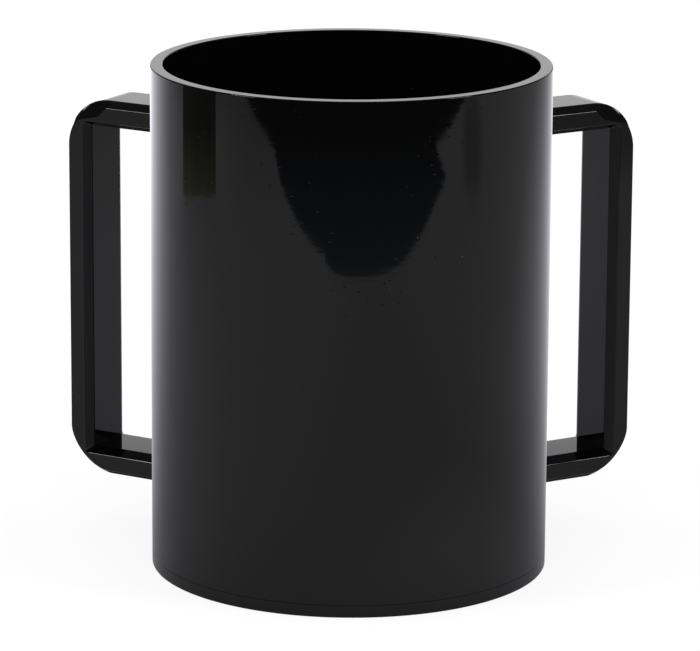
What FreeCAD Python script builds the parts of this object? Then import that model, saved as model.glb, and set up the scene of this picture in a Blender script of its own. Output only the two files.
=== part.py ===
# Two-handled cup for ritual hand washing, cut from black cast acrylic stock and cemented together.
# Sizes are in millimetres and angles in degrees. +Z is up and the cup's axis is the Z axis.
# The origin is the centre of the underside, and the handles spread to either side along X.
import FreeCAD, Part
import math
import os

# The cup is a length of stock tube with a disc of the same diameter cemented under it.
cup_diameter = 101.6
wall_thickness = 3.2
tube_length = 127.0
base_thickness = 3.2
rim_edge_break = 0.3
foot_edge_break = 0.3

# Each handle is one C-shaped bar, standing in a plane that holds the cup's axis.
handle_reach = 30.4
handle_height = 100.5
handle_foot_height = 14.2
bar_thickness = 7.1
bar_width = 18.4
outer_corner_radius = 12.3
inner_corner_radius = 1.0

# The bar's long edges are bevelled: the rise comes off its thickness and the run off its width.
bevel_rise = 1.55
bevel_run = 2.65

# Both handles lean back from the cup's left-right line by the same angle.
sweep_back_angle = 30.0

# Blanks run this far into what later trims them.
overrun = 1.0

cup_radius = cup_diameter / 2
bore_radius = cup_radius - wall_thickness
cup_height = base_thickness + tube_length

handle_outer = cup_radius + handle_reach
handle_inner = handle_outer - bar_thickness
handle_top = handle_foot_height + handle_height
flat_width = bar_width - 2 * bevel_run
leg_root = math.sqrt(cup_radius ** 2 - (bar_width / 2) ** 2) - overrun

half_turn = 180.0
full_turn = 2 * half_turn
origin = FreeCAD.Vector(0, 0, 0)
up = FreeCAD.Vector(0, 0, 1)


def turned(outline):
    """Turns a closed outline of (radius, height) points about the cup's axis."""
    points = [FreeCAD.Vector(radius, 0, height) for radius, height in outline]
    section = Part.Face(Part.makePolygon(points + points[:1]))
    return section.revolve(origin, up, full_turn)


def cup_wall():
    """The tube, whose sawn and polished rim has both its edges broken."""
    return turned([
        (bore_radius, base_thickness),
        (cup_radius, base_thickness),
        (cup_radius, cup_height - rim_edge_break),
        (cup_radius - rim_edge_break, cup_height),
        (bore_radius + rim_edge_break, cup_height),
        (bore_radius, cup_height - rim_edge_break),
    ])


def base_disc():
    """The disc that closes the tube from below, flush with its outside."""
    return turned([
        (0, 0),
        (cup_radius - foot_edge_break, 0),
        (cup_radius, foot_edge_break),
        (cup_radius, base_thickness),
        (0, base_thickness),
    ])


def rounded_wire(corners, across):
    """Closed wire through square corners of (outward, height, radius), at one place across the bar."""
    points = [FreeCAD.Vector(outward, across, height) for outward, height, radius in corners]
    radii = [radius for outward, height, radius in corners]
    edges = []
    for index, corner in enumerate(points):
        back = (points[index - 1] - corner).normalize()
        on = (points[(index + 1) % len(points)] - corner).normalize()
        start = corner + back * radii[index]
        before = points[index - 1] - back * radii[index - 1]
        edges.append(Part.LineSegment(before, start).toShape())
        if radii[index] > 0:
            middle = corner + (back + on) * (radii[index] * (1 - math.sqrt(0.5)))
            end = corner + on * radii[index]
            edges.append(Part.Arc(start, middle, end).toShape())
    return Part.Wire(edges)


def bar_outline(inset, across):
    """The handle's C, drawn in from all its faces by an inset."""
    far = handle_outer - inset
    near = handle_inner + inset
    top = handle_top - inset
    foot = handle_foot_height + inset
    under_top = handle_top - bar_thickness + inset
    above_foot = handle_foot_height + bar_thickness - inset
    outer = outer_corner_radius - inset
    inner = inner_corner_radius + inset
    return rounded_wire([
        (leg_root, top, 0),
        (far, top, outer),
        (far, foot, outer),
        (leg_root, foot, 0),
        (leg_root, above_foot, 0),
        (near, above_foot, inner),
        (near, under_top, inner),
        (leg_root, under_top, 0),
    ], across)


def handle_blank():
    """The bevelled C with square leg ends, reaching out along +X."""
    flat = Part.Face(bar_outline(0, -flat_width / 2)).extrude(FreeCAD.Vector(0, flat_width, 0))
    bevels = []
    for side in (-1, 1):
        edge = bar_outline(0, side * flat_width / 2)
        face = bar_outline(bevel_rise, side * bar_width / 2)
        bevels.append(Part.makeLoft([edge, face], True, True))
    return flat.fuse(bevels).removeSplitter()


def handle(angle):
    """A handle turned to its place round the cup, its leg ends hollowed to sit on the tube."""
    tube_outside = Part.makeCylinder(cup_radius, handle_top + overrun)
    seated = handle_blank().cut(tube_outside)
    seated.rotate(origin, up, angle)
    return seated


nodes = {
    "cup_wall": cup_wall(),
    "base_disc": base_disc(),
    "left_handle": handle(half_turn - sweep_back_angle),
    "right_handle": handle(sweep_back_angle),
}

os.makedirs("parts", exist_ok=True)
for name, shape in nodes.items():
    shape.exportStep("parts/" + name + ".step")
    box = shape.BoundBox
    size = " x ".join(f"{length:.1f}" for length in (box.XLength, box.YLength, box.ZLength))
    print(f"{name}: {len(shape.Solids)} solid, {size} mm, {shape.Volume / 1000:.1f} cm3")

capacity = math.pi * bore_radius ** 2 * tube_length
print(f"brim-full capacity: {capacity / 1000000:.2f} litres")
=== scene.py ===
# %% [markdown]
# # A two-handled washing cup in black acrylic
# The cup is a length of cast acrylic tube on a disc of acrylic sheet, with a squared C-shaped handle
# cemented to each side. Everything on it is black and polished, so the eye reads it only through what it
# reflects. Half of this lesson is therefore about the pieces, and the other half about the table that they
# mirror.

# %% Load the fixed frame
import math

import bmesh
import bpy
from mathutils import Matrix, Vector


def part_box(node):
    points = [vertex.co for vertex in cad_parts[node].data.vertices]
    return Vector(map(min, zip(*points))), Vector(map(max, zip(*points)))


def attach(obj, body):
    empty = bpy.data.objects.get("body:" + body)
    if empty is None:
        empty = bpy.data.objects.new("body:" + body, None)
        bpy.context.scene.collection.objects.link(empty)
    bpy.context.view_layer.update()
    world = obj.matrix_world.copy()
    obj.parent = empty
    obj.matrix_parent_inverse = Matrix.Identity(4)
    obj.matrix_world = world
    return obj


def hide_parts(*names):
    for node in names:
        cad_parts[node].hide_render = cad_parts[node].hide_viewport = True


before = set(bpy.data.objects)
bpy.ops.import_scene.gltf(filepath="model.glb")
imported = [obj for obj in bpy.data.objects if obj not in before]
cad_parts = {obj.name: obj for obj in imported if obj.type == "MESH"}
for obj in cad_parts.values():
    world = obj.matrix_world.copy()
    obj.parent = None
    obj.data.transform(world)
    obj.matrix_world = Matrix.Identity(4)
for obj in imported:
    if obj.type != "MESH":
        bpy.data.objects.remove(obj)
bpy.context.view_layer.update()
MM = 0.001
print("CAD nodes:", sorted(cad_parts))

# %% [markdown]
# ## Camera
# The photograph was taken from about a metre away with a long lens, looking down a little over the rim. The
# distance decides how round the rim's ellipse looks and how much of the top faces of the handles shows, so
# the camera stands where those two agree, and the lens is then long enough to fill the frame with the cup.

# %% Camera
camera_distance = 1073.3 * MM
camera_height = 329.7 * MM
camera_tilt_down = math.radians(14.0)
camera_roll = math.radians(0.35)
sensor_width_mm = 36.0
focal_length_mm = 222.4

camera_data = bpy.data.cameras.new("camera")
camera_data.sensor_width = sensor_width_mm
camera_data.lens = focal_length_mm
camera = bpy.data.objects.new("camera", camera_data)
camera.location = (0, -camera_distance, camera_height)
aim = Matrix.Rotation(math.pi / 2 - camera_tilt_down, 4, "X") @ Matrix.Rotation(camera_roll, 4, "Z")
camera.rotation_euler = aim.to_euler()
bpy.context.scene.collection.objects.link(camera)
bpy.context.scene.camera = camera
bpy.context.scene.view_settings.view_transform = "Standard"
print(f"camera: {camera_data.lens} mm lens, {camera_distance:.2f} m in front of the cup")

# %% [markdown]
# ## Colours and nodes
# Colours are written as sRGB hex values, as a paint chart gives them, and Blender's shaders want linear
# light. One function does that step. A second one adds any shader node and returns it: its settings go in
# by name, and each input is either a value or the output of another node.

# %% Helpers for colours and nodes
def colour(hex_code):
    """Linear RGBA of an sRGB hex colour."""
    channels = [int(hex_code[start:start + 2], 16) / 255 for start in (1, 3, 5)]
    linear = [c / 12.92 if c <= 0.04045 else ((c + 0.055) / 1.055) ** 2.4 for c in channels]
    return (*linear, 1.0)


def add(tree, kind, inputs, **settings):
    """Adds a node with its settings, and sets or links its inputs."""
    made = tree.nodes.new(kind)
    for name, value in settings.items():
        setattr(made, name, value)
    for socket, value in inputs.items():
        if isinstance(value, bpy.types.NodeSocket):
            tree.links.new(value, made.inputs[socket])
        else:
            made.inputs[socket].default_value = value
    return made


def new_material(name):
    """An empty node material and its tree."""
    material = bpy.data.materials.new(name)
    material.use_nodes = True
    material.node_tree.nodes.clear()
    return material, material.node_tree


# %% [markdown]
# ## The room around the cup
# Black acrylic mirrors about 4% of what stands around it, and far more at a glancing angle. The cup's
# upright side mirrors the table, the rim and the tops of the handles mirror the pale wall behind it, and
# the bevels mirror the unlit ceiling. The world gives these parts of the room: white to the camera, a pale
# band low down at the back for mirror rays, a dim ceiling, and a plain soft light for everything matt. The
# band starts above a dark foot of the wall, apart from the place straight behind the cup, where the wall is
# pale right down to the table.

# %% World
def rise(degrees):
    """The Z of a direction that rises at an angle."""
    return math.sin(math.radians(degrees))


foot_ends = (rise(7.5), rise(9.5))
band_ends = (rise(12.5), rise(20.5))
side_to_back = (0.5, 0.9)
nearly_straight_back = (0.955, 0.985)
light_on_side_walls = 0.1

world = bpy.data.worlds.new("studio_room")
world.use_nodes = True
room = world.node_tree
room.nodes.clear()
bpy.context.scene.world = world

whole_direction = add(room, "ShaderNodeTexCoord", {}).outputs["Generated"]
direction = add(room, "ShaderNodeSeparateXYZ", {0: whole_direction})
below_band_end = add(room, "ShaderNodeMapRange", {
    "Value": direction.outputs["Z"], "From Min": band_ends[0], "From Max": band_ends[1],
    "To Min": 1.0, "To Max": 0.0}, interpolation_type="SMOOTHSTEP")
behind = add(room, "ShaderNodeMapRange", {
    "Value": direction.outputs["Y"], "From Min": side_to_back[0], "From Max": side_to_back[1],
    "To Min": light_on_side_walls, "To Max": 1.0}, interpolation_type="SMOOTHSTEP")
wall_light = add(room, "ShaderNodeMath", {
    0: below_band_end.outputs[0], 1: behind.outputs[0]}, operation="MULTIPLY")
wall_and_ceiling = add(room, "ShaderNodeMix", {
    "Factor": wall_light.outputs[0], "A": colour("#4B4B4E"), "B": colour("#FFFFFF")}, data_type="RGBA")

past_foot = add(room, "ShaderNodeMapRange", {
    "Value": direction.outputs["Z"], "From Min": foot_ends[0], "From Max": foot_ends[1],
    "To Min": 0.0, "To Max": 1.0}, interpolation_type="SMOOTHSTEP")
straight_back = add(room, "ShaderNodeMapRange", {
    "Value": direction.outputs["Y"], "From Min": nearly_straight_back[0],
    "From Max": nearly_straight_back[1], "To Min": 0.0, "To Max": 1.0}, interpolation_type="SMOOTHSTEP")
no_foot = add(room, "ShaderNodeMath", {
    0: past_foot.outputs[0], 1: straight_back.outputs[0]}, operation="MAXIMUM")
mirrored = add(room, "ShaderNodeMix", {
    "Factor": no_foot.outputs[0], "A": colour("#1C1C1E"), "B": wall_and_ceiling.outputs["Result"]},
    data_type="RGBA")

rays = add(room, "ShaderNodeLightPath", {})
seen_or_matt = add(room, "ShaderNodeMix", {
    "Factor": rays.outputs["Is Camera Ray"], "A": colour("#BCBCBC"), "B": colour("#FFFFFF")},
    data_type="RGBA")
reflects = add(room, "ShaderNodeMath", {
    0: rays.outputs["Is Glossy Ray"], 1: rays.outputs["Is Transmission Ray"]}, operation="MAXIMUM")
room_colour = add(room, "ShaderNodeMix", {
    "Factor": reflects.outputs[0], "A": seen_or_matt.outputs["Result"],
    "B": mirrored.outputs["Result"]}, data_type="RGBA")
background = add(room, "ShaderNodeBackground", {"Color": room_colour.outputs["Result"], "Strength": 1.0})
add(room, "ShaderNodeOutputWorld", {"Surface": background.outputs[0]})
print("world:", len(room.nodes), "nodes")

# %% [markdown]
# ## Lamps
# Two soft boxes stand well to the left and right of the cup, somewhat in front of it and a metre up. From
# the camera no broad face of the cup mirrors them, but each polished edge between a bevel and a front face
# turns through their direction and picks up a thin bright line.

# %% Lamps
def soft_box(name, place, width, height, watts):
    """A soft box at a place in metres, turned to face the middle of the cup."""
    lamp_data = bpy.data.lights.new(name, "AREA")
    lamp_data.shape = "RECTANGLE"
    lamp_data.size = width
    lamp_data.size_y = height
    lamp_data.energy = watts
    lamp = bpy.data.objects.new(name, lamp_data)
    lamp.location = place
    lamp.rotation_euler = (middle_of_cup - lamp.location).to_track_quat("-Z", "Y").to_euler()
    bpy.context.scene.collection.objects.link(lamp)
    return lamp


middle_of_cup = Vector((0, 0, 65 * MM))
box_aside, box_in_front, box_up = 1.45, 0.6, 1.0
box_width, box_height, box_watts = 0.45, 0.3, 5.0

for side, name in ((-1, "left_soft_box"), (1, "right_soft_box")):
    lamp = soft_box(name, (side * box_aside, -box_in_front, box_up), box_width, box_height, box_watts)
    print(name, [round(c, 2) for c in lamp.location])

# %% [markdown]
# ## The table
# The cup stands on a white sheet whose front edge lies about 44 cm in front of it. Beyond that edge the
# table is dark, and that is the large dark tongue in the middle of the cup. The sheet is matt and reflects
# plain light, so it keeps the cup's shadow. To the camera everything on the table glows up to pure white,
# and to mirror rays it glows as brightly as the place has to look in a reflection.

# %% What a matt thing on the table shows
def show_matt(tree, hex_code, camera_glow, mirror_glow, mirror_colour):
    """A matt surface that glows white for the camera, and in a colour of its own for mirror rays."""
    rays = add(tree, "ShaderNodeLightPath", {})
    camera_part = add(tree, "ShaderNodeMath", {
        0: rays.outputs["Is Camera Ray"], 1: camera_glow}, operation="MULTIPLY")
    mirror = add(tree, "ShaderNodeMath", {
        0: rays.outputs["Is Glossy Ray"], 1: rays.outputs["Is Transmission Ray"]}, operation="MAXIMUM")
    strength = add(tree, "ShaderNodeMath", {
        0: mirror.outputs[0], 1: mirror_glow, 2: camera_part.outputs[0]}, operation="MULTIPLY_ADD")
    shown = add(tree, "ShaderNodeMix", {
        "Factor": mirror.outputs[0], "A": colour("#FFFFFF"), "B": mirror_colour}, data_type="RGBA")
    glow = add(tree, "ShaderNodeEmission", {
        "Color": shown.outputs["Result"], "Strength": strength.outputs[0]})
    matt = add(tree, "ShaderNodeBsdfDiffuse", {"Color": colour(hex_code)})
    both = add(tree, "ShaderNodeAddShader", {0: glow.outputs[0], 1: matt.outputs[0]})
    add(tree, "ShaderNodeOutputMaterial", {"Surface": both.outputs[0]})


# %% [markdown]
# The sheet isn't lit evenly. A window far behind it on the left brightens that side, and some of its light
# lies behind the cup and at its foot. Each pool of light is an ellipse on the sheet. So is each soft shade,
# which takes a share of the light away: to the left in front, on the whole right side, in front of the cup,
# round its foot, and in the short stripe that something out of the picture throws on the right. Every
# place, radius and share was found by setting the cup's tones against the photograph's.

# %% Light and shade on the sheet
white_paper, paper_tree = new_material("matt_white_paper")
place_on_table = add(paper_tree, "ShaderNodeTexCoord", {}).outputs["Object"]


def share_of_ellipse(centre, radii, turn):
    """How far a place lies from the middle of an ellipse, 1 at its edge. Metres and degrees."""
    inside = add(paper_tree, "ShaderNodeMapping", {
        "Vector": place_on_table, "Location": (*centre, 0), "Rotation": (0, 0, math.radians(turn)),
        "Scale": (*radii, 1)}, vector_type="TEXTURE")
    reach = add(paper_tree, "ShaderNodeVectorMath", {0: inside.outputs[0]}, operation="LENGTH")
    return reach.outputs["Value"]


def pool(centre, radii, turn, strength):
    """Light that is strongest in the middle of an ellipse and falls evenly to nothing at its edge."""
    return add(paper_tree, "ShaderNodeMapRange", {
        "Value": share_of_ellipse(centre, radii, turn), "From Min": 0.0, "From Max": 1.0,
        "To Min": strength, "To Max": 0.0}).outputs[0]


def shade(centre, radii, turn, core, darkest):
    """A factor that is darkest inside the core, a share of an ellipse, and rises softly to 1 at its edge."""
    return add(paper_tree, "ShaderNodeMapRange", {
        "Value": share_of_ellipse(centre, radii, turn), "From Min": core, "From Max": 1.0,
        "To Min": darkest, "To Max": 1.0}, interpolation_type="SMOOTHSTEP").outputs[0]


left_edge_ends = (-0.75, -0.60)
light_right_of_edge = 0.24
along_table = add(paper_tree, "ShaderNodeSeparateXYZ", {0: place_on_table})
light = add(paper_tree, "ShaderNodeMapRange", {
    "Value": along_table.outputs["X"], "From Min": left_edge_ends[0], "From Max": left_edge_ends[1],
    "To Min": 0.0, "To Max": light_right_of_edge}).outputs[0]

window = pool((-0.985, 2.937), (3.185, 1.061), 113.7, 3.92)
behind_cup = pool((-0.153, 0.601), (0.586, 0.586), 0, 0.55)
close_behind_cup = pool((0.026, 0.091), (0.137, 0.137), 0, 0.12)
right_of_foot = pool((0.070, -0.071), (0.087, 0.087), 0, 0.193)
for one_pool in (window, behind_cup, close_behind_cup, right_of_foot):
    light = add(paper_tree, "ShaderNodeMath", {0: light, 1: one_pool}, operation="ADD").outputs[0]

stripe = shade((0.596, -0.219), (0.160, 0.099), -23.5, 0.40, 0.0)
left_front = shade((-0.717, -0.589), (0.508, 0.595), 0, 0.2, 0.0)
right_side = shade((1.53, 0.79), (1.79, 2.40), 0, 0.1, 0.23)
front_of_cup = shade((0.078, -0.196), (0.245, 0.426), 0, 0.1, 0.66)
round_foot = shade((0.0, 0.0), (0.066, 0.066), 0, 0.77, 0.84)
for one_shade in (stripe, left_front, right_side, front_of_cup, round_foot):
    light = add(paper_tree, "ShaderNodeMath", {0: light, 1: one_shade}, operation="MULTIPLY").outputs[0]
show_matt(paper_tree, "#9F9F9F", 0.82, light, colour("#F4F4FF"))
print("sheet:", len(paper_tree.nodes), "nodes")

# %% [markdown]
# The dark tabletop is a little paler and bluer close to the sheet, where daylight falls on it, and nearly
# black further away.

# %% Dark tabletop
dark_table, table_tree = new_material("dark_tabletop")
place = add(table_tree, "ShaderNodeTexCoord", {}).outputs["Object"]
from_cup = add(table_tree, "ShaderNodeVectorMath", {0: place}, operation="LENGTH")
daylight_ends = (0.42, 0.66)
near_sheet = add(table_tree, "ShaderNodeMapRange", {
    "Value": from_cup.outputs["Value"], "From Min": daylight_ends[0], "From Max": daylight_ends[1],
    "To Min": 1.0, "To Max": 0.0})
table_colour = add(table_tree, "ShaderNodeMix", {
    "Factor": near_sheet.outputs[0], "A": colour("#2C2C2B"), "B": colour("#525B62")}, data_type="RGBA")
show_matt(table_tree, "#141416", 1.0, 1.0, table_colour.outputs["Result"])
print("tabletop:", len(table_tree.nodes), "nodes")

# %% [markdown]
# Each flat thing on the table starts as a few corners joined into one face. The dark top lies a little
# lower than the sheet, as it would under real paper, and a dark cloth lies over part of the sheet's front
# edge. Straight behind the cup the sheet runs on towards the wall, and the rounded corners of the handles
# mirror it there.

# %% Table surfaces
def into_scene(name, bm, material):
    """Turns a bmesh into an object at the origin with one material."""
    mesh = bpy.data.meshes.new(name)
    bm.to_mesh(mesh)
    bm.free()
    mesh.materials.append(material)
    made = bpy.data.objects.new(name, mesh)
    bpy.context.scene.collection.objects.link(made)
    return made


def flat_sheet(name, corners, level, material):
    """A flat sheet through its corners, in metres, at a level."""
    bm = bmesh.new()
    bm.faces.new([bm.verts.new((x, y, level)) for x, y in corners])
    for face in bm.faces:
        face.normal_update()
        if face.normal.z < 0:
            face.normal_flip()
    sheet = into_scene(name, bm, material)
    print(f"{name}: {len(corners)} corners, {1000 * level:.1f} mm up")
    return sheet


cloth_level = 0.2 * MM
tabletop_level = -0.5 * MM

sheet_front = [(-2.0, 0.378), (-0.464, -0.443), (-0.407, -0.457), (-0.35, -0.4385), (-0.11, -0.435),
               (0.45, -0.436), (0.60, -0.335), (2.0, 0.70)]
sheet_back = [(2.0, 0.95), (0.33, 0.95), (0.8, 3.8), (-0.8, 3.8), (-0.33, 0.95), (-2.0, 0.95)]
flat_sheet("white_sheet", sheet_front + sheet_back, 0.0, white_paper)

cloth_edge = [(-0.109, -0.47), (-0.101, -0.425), (-0.062, -0.418), (0.03, -0.416), (0.115, -0.405),
              (0.20, -0.386), (0.38, -0.361), (0.452, -0.338), (0.456, -0.47)]
flat_sheet("dark_cloth", cloth_edge, cloth_level, dark_table)

tabletop_corners = [(-4.0, -4.0), (4.0, -4.0), (4.0, 4.0), (-4.0, 4.0)]
flat_sheet("tabletop", tabletop_corners, tabletop_level, dark_table)

# %% [markdown]
# An olive card stands on the sheet to the left, outside the picture, and shows only as a reflection. It is
# a folded line on the table drawn straight up. Light from the sheet brightens its foot, and its surface has
# upright streaks. The camera doesn't see it, in this view or any other.

# %% Olive card
olive_card, card_tree = new_material("streaked_olive_card")
card_height = 100 * MM
foot_light_height = 25 * MM
streak_width, streak_length = 0.03, 0.3

on_card = add(card_tree, "ShaderNodeTexCoord", {}).outputs["Object"]
height_up = add(card_tree, "ShaderNodeSeparateXYZ", {0: on_card})
foot_light = add(card_tree, "ShaderNodeMapRange", {
    "Value": height_up.outputs["Z"], "From Min": 0.0, "From Max": foot_light_height,
    "To Min": 1.0, "To Max": 0.0})
card_colour = add(card_tree, "ShaderNodeMix", {
    "Factor": foot_light.outputs[0], "A": colour("#454541"), "B": colour("#797B69")}, data_type="RGBA")
stretched = add(card_tree, "ShaderNodeMapping", {
    "Vector": on_card, "Scale": (1 / streak_width, 1 / streak_width, 1 / streak_length)})
streaks = add(card_tree, "ShaderNodeTexNoise", {
    "Vector": stretched.outputs[0], "Scale": 1.0, "Detail": 2.0})
streaked = add(card_tree, "ShaderNodeMapRange", {
    "Value": streaks.outputs["Fac"], "From Min": 0.3, "From Max": 0.7, "To Min": 0.75, "To Max": 1.25})
show_matt(card_tree, "#101008", 0.0, streaked.outputs[0], card_colour.outputs["Result"])

card_foot = ((-0.482, 0.143), (-0.511, 0.014), (-0.510, -0.097))
bm = bmesh.new()
foot = [bm.verts.new((x, y, 0)) for x, y in card_foot]
for start, end in zip(foot, foot[1:]):
    bm.edges.new((start, end))
drawn_up = bmesh.ops.extrude_edge_only(bm, edges=bm.edges[:])["geom"]
card_top = [v for v in drawn_up if isinstance(v, bmesh.types.BMVert)]
bmesh.ops.translate(bm, verts=card_top, vec=(0, 0, card_height))
card = into_scene("olive_card", bm, olive_card)
card.visible_camera = False
card.visible_shadow = False
print(f"card: {1000 * card_height:.0f} mm high, {len(card.data.polygons)} faces")

# %% [markdown]
# ## Black cast acrylic
# Cast acrylic is PMMA, index of refraction 1.49, coloured black right through. Polished, it has a deep
# black body and a mirror-clear surface. Four things stop it from looking like a computer's mirror: the
# drawn and buffed tube is very slightly rippled, which frays the edges of reflections; it has shallow
# dimples about a millimetre wide, which pull small bits of a reflection out of place; buffing leaves
# hairlines that show as faint changes in gloss; and dust settles on it. The hairlines are drawn a
# millimetre apart, more than ten times as far as real ones, so that they show at all.

# %% Acrylic
def black_acrylic(name, ripple, ripple_height, dimple_depth, clear_roughness, hazy_roughness):
    """Polished black acrylic, with sizes in metres. Ripples and dimples are wider round it than up it."""
    material, tree = new_material(name)
    here = add(tree, "ShaderNodeTexCoord", {}).outputs["Object"]

    ripple_wide, ripple_tall = ripple
    stretched = add(tree, "ShaderNodeMapping", {
        "Vector": here, "Scale": (1 / ripple_wide, 1 / ripple_wide, 1 / ripple_tall)})
    ripples = add(tree, "ShaderNodeTexNoise", {
        "Vector": stretched.outputs[0], "Scale": 1.0, "Detail": 2.0, "Roughness": 0.5})
    rippled = add(tree, "ShaderNodeBump", {
        "Height": ripples.outputs["Fac"], "Distance": ripple_height, "Strength": 1.0})

    dimple_cells = add(tree, "ShaderNodeMapping", {
        "Vector": here, "Scale": (1 / dimple_spacing, 1 / dimple_spacing, flattened / dimple_spacing)})
    dimples = add(tree, "ShaderNodeTexVoronoi", {"Vector": dimple_cells.outputs[0], "Scale": 1.0})
    hollow = add(tree, "ShaderNodeMapRange", {
        "Value": dimples.outputs["Distance"], "From Min": 0.0, "From Max": dimple_reach,
        "To Min": 0.0, "To Max": 1.0}, interpolation_type="SMOOTHSTEP")
    dimpled = add(tree, "ShaderNodeBump", {
        "Height": hollow.outputs[0], "Distance": dimple_depth, "Strength": 1.0,
        "Normal": rippled.outputs[0]})

    buffed = add(tree, "ShaderNodeMapping", {"Vector": here, "Scale": hairlines_per_metre})
    hairlines = add(tree, "ShaderNodeTexNoise", {
        "Vector": buffed.outputs[0], "Scale": 1.0, "Detail": 3.0})
    gloss = add(tree, "ShaderNodeMapRange", {
        "Value": hairlines.outputs["Fac"], "From Min": 0.35, "From Max": 0.75,
        "To Min": clear_roughness, "To Max": hazy_roughness})

    cells = add(tree, "ShaderNodeTexVoronoi", {"Vector": here, "Scale": 1 / dust_spacing})
    speck_reach = add(tree, "ShaderNodeSeparateColor", {0: cells.outputs["Color"]})
    speck_size = add(tree, "ShaderNodeMapRange", {
        "Value": speck_reach.outputs["Red"], "From Min": 0.5, "From Max": 1.0,
        "To Min": 0.0, "To Max": largest_speck})
    speck = add(tree, "ShaderNodeMath", {
        0: cells.outputs["Distance"], 1: speck_size.outputs[0]}, operation="LESS_THAN")
    body_colour = add(tree, "ShaderNodeMix", {
        "Factor": speck.outputs[0], "A": colour("#070708"), "B": colour("#6B6B68")}, data_type="RGBA")
    roughness = add(tree, "ShaderNodeMix", {
        "Factor": speck.outputs[0], "A": gloss.outputs[0], "B": dust_roughness}, data_type="FLOAT")

    body = add(tree, "ShaderNodeBsdfPrincipled", {
        "Base Color": body_colour.outputs["Result"], "Roughness": roughness.outputs[0],
        "Normal": dimpled.outputs[0], "IOR": acrylic_ior})
    add(tree, "ShaderNodeOutputMaterial", {"Surface": body.outputs[0]})
    return material


acrylic_ior = 1.49
dimple_spacing = 3 * MM
flattened = 1.6
dimple_reach = 0.16
hairlines_per_metre = (60, 60, 900)
dust_spacing = 5.5 * MM
largest_speck = 0.03
dust_roughness = 0.7

tube_acrylic = black_acrylic(
    "buffed_cast_acrylic_tube", ripple=(7 * MM, 1.3 * MM), ripple_height=0.0022 * MM,
    dimple_depth=0.010 * MM, clear_roughness=0.03, hazy_roughness=0.05)
sheet_acrylic = black_acrylic(
    "buffed_cast_acrylic_sheet", ripple=(12 * MM, 12 * MM), ripple_height=0.001 * MM,
    dimple_depth=0.002 * MM, clear_roughness=0.03, hazy_roughness=0.05)
bar_acrylic = black_acrylic(
    "polished_cast_acrylic_bar", ripple=(9 * MM, 9 * MM), ripple_height=0.001 * MM,
    dimple_depth=0.001 * MM, clear_roughness=0.03, hazy_roughness=0.06)
print("acrylic:", ", ".join(m.name for m in (tube_acrylic, sheet_acrylic, bar_acrylic)))

# %% [markdown]
# The inner side of each handle's upright is routed too, but a buffing wheel hardly reaches it. Its bevels
# keep the satin finish of the cutter: fine tool marks run along the cut and scatter a little light. Their
# dark grey body is painted sheen, which stands in for the light that these bevels mirror. The marks are
# drawn three times as coarse as a router's real ones, which are under 0.1 mm, so that they show at all. The
# face between those bevels was rubbed flat by hand. It mirrors sharply, but less than the outside does, and
# looks a little greyer.

# %% Inner sides of the uprights
def routed_acrylic(name, dark, pale, roughest, smoothest, mirroring):
    """Black acrylic inside a handle between two greys, painted sheen on the bevels, with tool marks along
    the cut.
    """
    material, tree = new_material(name)
    here = add(tree, "ShaderNodeTexCoord", {}).outputs["Object"]
    across_cut = add(tree, "ShaderNodeMapping", {
        "Vector": here, "Scale": (1 / mark_width, 1 / mark_width, marks_along_cut)})
    marks = add(tree, "ShaderNodeTexNoise", {
        "Vector": across_cut.outputs[0], "Scale": 1.0, "Detail": 2.0})
    body_colour = add(tree, "ShaderNodeMix", {
        "Factor": marks.outputs["Fac"], "A": colour(dark), "B": colour(pale)}, data_type="RGBA")
    roughness = add(tree, "ShaderNodeMapRange", {
        "Value": marks.outputs["Fac"], "From Min": 0.3, "From Max": 0.7,
        "To Min": smoothest, "To Max": roughest})
    body = add(tree, "ShaderNodeBsdfPrincipled", {
        "Base Color": body_colour.outputs["Result"], "Roughness": roughness.outputs[0],
        "IOR": acrylic_ior, "Specular IOR Level": mirroring})
    add(tree, "ShaderNodeOutputMaterial", {"Surface": body.outputs[0]})
    return material


mark_width = 0.3 * MM
marks_along_cut = 60
# The satin bevels' dark greys are painted sheen for the light they mirror; their roughness is the cutter's
# finish.
satin_bevels_painted_sheen = routed_acrylic(
    "satin_routed_acrylic_painted_sheen", "#3B3B3E", "#4B4B4E", roughest=0.55, smoothest=0.45, mirroring=0.5)
rubbed_face = routed_acrylic(
    "hand_rubbed_acrylic", "#121213", "#171717", roughest=0.06, smoothest=0.04, mirroring=0.2)
print("inside the handles:", satin_bevels_painted_sheen.name, "and", rubbed_face.name)

# %% [markdown]
# ## The tube
# The wall is a length of stock tube, sawn, faced and polished at the rim. It is drawn as the section of the
# wall and spun once round the axis, which gives a true cylinder inside and out. The rim's two edges are
# broken with a small round, which is what catches light on a real rim, and the lower outside edge has a
# hairline chamfer: the seam to the disc shows as a dark line there.

# %% Tube
wall_low, wall_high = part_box("cup_wall")
cup_radius = wall_high.x
wall_thickness = 3.2 * MM
bore_radius = cup_radius - wall_thickness
rim_round = 0.3 * MM
seam_chamfer = 0.06 * MM
steps_round = 256
crease_angle = math.radians(25)
same_direction = 0.9999
up = (0, 0, 1)


def round_corners(bm, corners, size, segments, fullness=0.5):
    """Rounds corners of a flat outline, or chamfers them with one segment. Fullness 0.5 is round."""
    bmesh.ops.bevel(bm, geom=corners, offset=size, offset_type="OFFSET", affect="VERTICES",
                    segments=segments, profile=fullness, material=-1)


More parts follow.
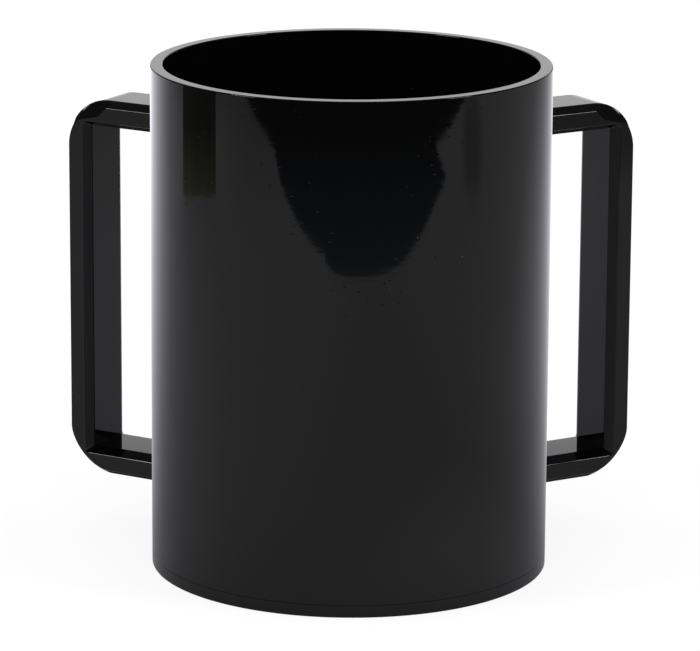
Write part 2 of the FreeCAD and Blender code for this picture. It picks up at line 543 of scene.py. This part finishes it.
def finish_piece(name, bm, materials, ground_flat=None):
    """A finished piece on the body: normals outwards, smooth except for a face that is ground flat."""
    bmesh.ops.recalc_face_normals(bm, faces=bm.faces[:])
    for face in bm.faces:
        face.smooth = True
    volume = bm.calc_volume()
    piece = into_scene(name, bm, materials[0])
    for material in materials[1:]:
        piece.data.materials.append(material)
    piece.data.set_sharp_from_angle(angle=crease_angle)
    if ground_flat is not None:
        for polygon in piece.data.polygons:
            if polygon.normal.dot(ground_flat) > same_direction:
                polygon.use_smooth = False
    normals = piece.modifiers.new("flat_faces_stay_flat", "WEIGHTED_NORMAL")
    normals.keep_sharp = True
    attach(piece, "root")
    print(f"{name}: {len(piece.data.polygons)} faces, {volume * 1e6:.1f} cm3")
    return piece


bm = bmesh.new()
section = [bm.verts.new(place) for place in (
    (bore_radius, 0, wall_low.z), (cup_radius, 0, wall_low.z),
    (cup_radius, 0, wall_high.z), (bore_radius, 0, wall_high.z))]
bm.faces.new(section)
round_corners(bm, section[2:], rim_round, 4)
round_corners(bm, section[1:2], seam_chamfer, 1)
bmesh.ops.delete(bm, geom=bm.faces[:], context="FACES_ONLY")
bmesh.ops.spin(bm, geom=bm.verts[:] + bm.edges[:], cent=(0, 0, 0), axis=up, angle=2 * math.pi,
               steps=steps_round, use_merge=True)
tube = finish_piece("polished_tube", bm, [tube_acrylic])
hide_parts("cup_wall")

# %% [markdown]
# ## The base
# The base is a disc cut from sheet, flush with the tube and cemented under it. A cone with equal radii is a
# cylinder, and a bevel breaks the edge that it stands on and cuts its half of the seam.

# %% Base disc
disc_low, disc_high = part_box("base_disc")
foot_round = 0.3 * MM

bm = bmesh.new()
bmesh.ops.create_cone(bm, cap_ends=True, segments=steps_round, radius1=cup_radius,
                      radius2=cup_radius, depth=disc_high.z - disc_low.z)
bmesh.ops.translate(bm, verts=bm.verts, vec=(0, 0, (disc_low.z + disc_high.z) / 2))


def edges_at_level(bm, level):
    """The edges that lie level at a height."""
    return [e for e in bm.edges if all(abs(v.co.z - level) < 0.01 * MM for v in e.verts)]


def soften(bm, edges, size, segments):
    """Rounds edges of a solid, or chamfers them with one segment."""
    bmesh.ops.bevel(bm, geom=edges, offset=size, offset_type="OFFSET", affect="EDGES",
                    segments=segments, profile=0.5, material=-1)


soften(bm, edges_at_level(bm, disc_low.z), foot_round, 4)
soften(bm, edges_at_level(bm, disc_high.z), seam_chamfer, 1)
disc = finish_piece("polished_base_disc", bm, [sheet_acrylic])
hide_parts("base_disc")

# %% [markdown]
# ## The handles
# Each handle is one C-shaped bar, routed from thick sheet, with both long edges of its faces bevelled and
# polished. Its main sizes are those of the CAD solid. What the scene adds is what grinding and polishing
# left: the lower outer corner is a little flatter than a quarter circle, the inner corners are nearly
# sharp, and every crease is softened by a few tenths of a millimetre.

# %% Handle sizes
handle_reach = 30.4 * MM
bar_thickness = 7.1 * MM
bar_width = 18.4 * MM
bevel_rise = 1.55 * MM
bevel_run = 2.65 * MM
outer_corner = 12.3 * MM
lower_corner_fullness = 0.44
inner_corner = 0.15 * MM
crease_round = 0.25 * MM
# Slot 1 is the satin finish with its painted sheen, slot 2 the rubbed face.
satin_and_painted_sheen, rubbed = 1, 2
sweep_back = math.radians(30)
handle_low, handle_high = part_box("right_handle")
handle_outer = cup_radius + handle_reach
handle_root = cup_radius - 6 * MM
flat_width = bar_width - 2 * bevel_run
print(f"handles: {1000 * (handle_high.z - handle_low.z):.1f} mm high, {1000 * flat_width:.1f} mm flats")

# %% [markdown]
# The C is drawn flat with its corners rounded, extruded to the width between the bevels, and inset at both
# ends: the inset gives the bevel its rise, and its depth gives the bevel its run. That way the bevel goes
# round every corner of the C by itself, where a cut along each edge would have to be mitred. On the inner
# side of the upright, the bevels take the satin finish with its painted sheen, and the face between them the
# rubbed one.

# %% Handle
def handle(name, angle):
    """A bevelled C bar that stands out from the tube at an angle from +X."""
    top, foot = handle_high.z, handle_low.z
    far, near = handle_outer, handle_outer - bar_thickness
    bm = bmesh.new()
    corners = [bm.verts.new((x, -flat_width / 2, z)) for x, z in (
        (handle_root, top), (far, top), (far, foot), (handle_root, foot),
        (handle_root, foot + bar_thickness), (near, foot + bar_thickness),
        (near, top - bar_thickness), (handle_root, top - bar_thickness))]
    bm.faces.new(corners)
    round_corners(bm, corners[1:2], outer_corner, 32)
    round_corners(bm, corners[2:3], outer_corner, 32, lower_corner_fullness)
    round_corners(bm, corners[5:7], inner_corner, 4)

    front = bm.faces[:]
    extruded = bmesh.ops.extrude_face_region(bm, geom=front)["geom"]
    back = [part for part in extruded if isinstance(part, bmesh.types.BMFace)]
    bmesh.ops.translate(bm, verts=back[0].verts, vec=(0, flat_width, 0))
    bmesh.ops.recalc_face_normals(bm, faces=bm.faces[:])
    ends = [face for face in bm.faces if abs(face.normal.y) > 0.99]
    bmesh.ops.inset_region(bm, faces=ends, thickness=bevel_rise, depth=bevel_run,
                           use_even_offset=True, use_boundary=True)
    # The upright's inner bevels take slot 1, whose grey is painted sheen.
    for face in bm.faces:
        if face.normal.x < -0.6 and face.calc_center_median().x > cup_radius:
            face.material_index = satin_and_painted_sheen if abs(face.normal.y) > 0.3 else rubbed
    creases = [e for e in bm.edges if e.is_manifold and e.calc_face_angle() > crease_angle]
    soften(bm, creases, crease_round, 3)
    bmesh.ops.rotate(bm, verts=bm.verts, cent=(0, 0, 0), matrix=Matrix.Rotation(angle, 3, "Z"))
    return seated_on_tube(name, bm, angle)


# %% [markdown]
# The upper outer corner has been dubbed off on the sander at the front, which left a flat facet from the
# front face up to the rounded corner. A cube, cut by the facet's plane and by the slanting line where the
# facet ends, gives the wedge that came off. The planes are set in the bar's own directions: outwards,
# across and up. They pass through one point of the bar's front face, where the facet and the slanting line
# meet.

# %% Wedge for the dubbed corner
facet_start_out = 70.5 * MM
facet_start_up = 110.6 * MM
cube_size = 24 * MM


def side_at_front(angle):
    """Which side of a handle at an angle from +X faces the front of the cup."""
    return -1 if angle < math.pi / 2 else 1


def facet_normal(side):
    """The direction that the ground facet faces."""
    return Vector((0.11, side * 0.867, 0.49)).normalized()


def wedge(side, angle):
    """What the sander took off the upper outer corner, on the side that faces the front of the cup."""
    facet_start = Vector((facet_start_out, side * bar_width / 2, facet_start_up))
    facet_end_normal = Vector((1, 0, 1))
    bm = bmesh.new()
    bmesh.ops.create_cube(bm, size=cube_size, matrix=Matrix.Translation(facet_start))
    for normal in (facet_normal(side), facet_end_normal):
        cut = bmesh.ops.bisect_plane(bm, geom=bm.verts[:] + bm.edges[:] + bm.faces[:],
                                     plane_co=facet_start, plane_no=normal, clear_inner=True)["geom_cut"]
        bmesh.ops.edgeloop_fill(bm, edges=[part for part in cut if isinstance(part, bmesh.types.BMEdge)])
    bmesh.ops.recalc_face_normals(bm, faces=bm.faces[:])
    bmesh.ops.rotate(bm, verts=bm.verts, cent=(0, 0, 0), matrix=Matrix.Rotation(angle, 3, "Z"))
    return bm


# %% [markdown]
# The leg ends are milled hollow to the tube's radius. A cylinder with the tube's own facets cuts them, so
# that the joint closes all along its line. The cuts are made final before the cutters are thrown away.

# %% Leg ends and corner
def seated_on_tube(name, bm, angle):
    """Cuts the leg ends with the outside of the tube, dubs the corner and returns a bmesh."""
    blank = into_scene(name + "_blank", bm, bar_acrylic)
    for material in (satin_bevels_painted_sheen, rubbed_face):
        blank.data.materials.append(material)
    tube_outside = bmesh.new()
    bmesh.ops.create_cone(tube_outside, cap_ends=True, segments=steps_round, radius1=cup_radius,
                          radius2=cup_radius, depth=2 * wall_high.z)
    cutters = []
    for cutter_bm in (tube_outside, wedge(side_at_front(angle), angle)):
        cutter = into_scene(name + "_cutter", cutter_bm, bar_acrylic)
        milled = blank.modifiers.new("cut", "BOOLEAN")
        milled.operation = "DIFFERENCE"
        milled.solver = "EXACT"
        milled.object = cutter
        cutters.append(cutter)
    bpy.context.view_layer.update()
    milled_blank = blank.evaluated_get(bpy.context.evaluated_depsgraph_get())
    result = bpy.data.meshes.new_from_object(milled_blank)
    bm = bmesh.new()
    bm.from_mesh(result)
    for leftover in (blank, *cutters):
        bpy.data.objects.remove(leftover)
    bpy.data.meshes.remove(result)
    return bm


handle_finishes = [bar_acrylic, satin_bevels_painted_sheen, rubbed_face]
handles = {}
for name, node, angle in (
        ("right_bevelled_handle", "right_handle", sweep_back),
        ("left_bevelled_handle", "left_handle", math.pi - sweep_back)):
    facet = Matrix.Rotation(angle, 3, "Z") @ facet_normal(side_at_front(angle))
    piece = finish_piece(name, handle(name, angle), handle_finishes, facet)
    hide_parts(node)
    handles[name] = piece

# %% [markdown]
# ## What the handles mirror
# The photograph shows the cup's sides clear of any image of the handles, but inside each handle's corners
# its polished faces mirror one another. So mirror rays pass the handles themselves and meet a copy, which
# they see only from less than 18.5 mm away: every ray between two faces of one handle is shorter than that,
# and every ray that reaches a handle from the cup's side is longer. Rays that have only just left the
# surface pass too, because the copy lies right on it. The copies are not attached to the cup, and nothing
# else sees them.

# %% Surfaces for short rays
def seen_by_short_rays(name, shortest, kind, inputs):
    """A surface of a kind that only short mirror rays meet. All the others pass through it."""
    material, tree = new_material(name)
    ray_length = add(tree, "ShaderNodeLightPath", {}).outputs["Ray Length"]
    too_short = add(tree, "ShaderNodeMath", {0: ray_length, 1: shortest}, operation="LESS_THAN")
    too_long = add(tree, "ShaderNodeMath", {0: ray_length, 1: longest_ray}, operation="GREATER_THAN")
    passes = add(tree, "ShaderNodeMath", {
        0: too_short.outputs[0], 1: too_long.outputs[0]}, operation="MAXIMUM")
    surface = add(tree, kind, inputs)
    clear = add(tree, "ShaderNodeBsdfTransparent", {})
    either = add(tree, "ShaderNodeMixShader", {
        0: passes.outputs[0], 1: surface.outputs[0], 2: clear.outputs[0]})
    add(tree, "ShaderNodeOutputMaterial", {"Surface": either.outputs[0]})
    return material


def only_mirrored(thing):
    """Hides a thing from every ray but the mirror rays."""
    thing.visible_camera = False
    thing.visible_shadow = False
    thing.visible_diffuse = False


longest_ray = 18.5 * MM
print(f"short rays: up to {1000 * longest_ray:.1f} mm")

# %% [markdown]
# Each copy has the finished handle's own mesh, in plain polished black, and lies exactly on the handle.

# %% Copies of the handles
just_off_surface = 0.3 * MM
mirrored_acrylic = seen_by_short_rays("mirrored_acrylic", just_off_surface, "ShaderNodeBsdfPrincipled", {
    "Base Color": colour("#070708"), "Roughness": 0.05, "IOR": acrylic_ior})

for name, piece in handles.items():
    piece.visible_glossy = False
    bm = bmesh.new()
    bm.from_mesh(piece.data)
    copy = into_scene(name + "_in_the_mirror", bm, mirrored_acrylic)
    only_mirrored(copy)
    print(f"{copy.name}: {len(copy.data.polygons)} faces")

# %% [markdown]
# The air under each leg is nearly dark, and the bevel along the leg's lower front edge mirrors that. A dark
# strip under the leg stands for it, seen by the same short rays. Under the upper leg the strip hangs close
# below the bevel, where the face inside the handle doesn't mirror it. Both ends of a strip are given for
# the right handle, and the left one's strip is its mirror image.

# %% Shade under the legs
leg_shade = seen_by_short_rays("shade_under_leg", 0.0, "ShaderNodeEmission", {
    "Color": colour("#FFFFFF"), "Strength": 0.03})


def shade_strip(start, end, half_width, level):
    """A dark strip between two places under a leg of each handle."""
    across = (end - start).normalized().orthogonal() * half_width
    for side in (-1, 1):
        corners = [(side * c.x, c.y) for c in (start - across, end - across, end + across, start + across)]
        only_mirrored(flat_sheet("shade_strip", corners, level, leg_shade))


under_lower_leg = handle_low.z - 9.3 * MM
under_upper_leg = handle_high.z - bar_thickness - 1 * MM
shade_strip(Vector((49, 30)) * MM, Vector((73, 44)) * MM, 5 * MM, under_lower_leg)
shade_strip(Vector((46.3, 19.8)) * MM, Vector((66.7, 31.5)) * MM, 0.9 * MM, under_upper_leg)
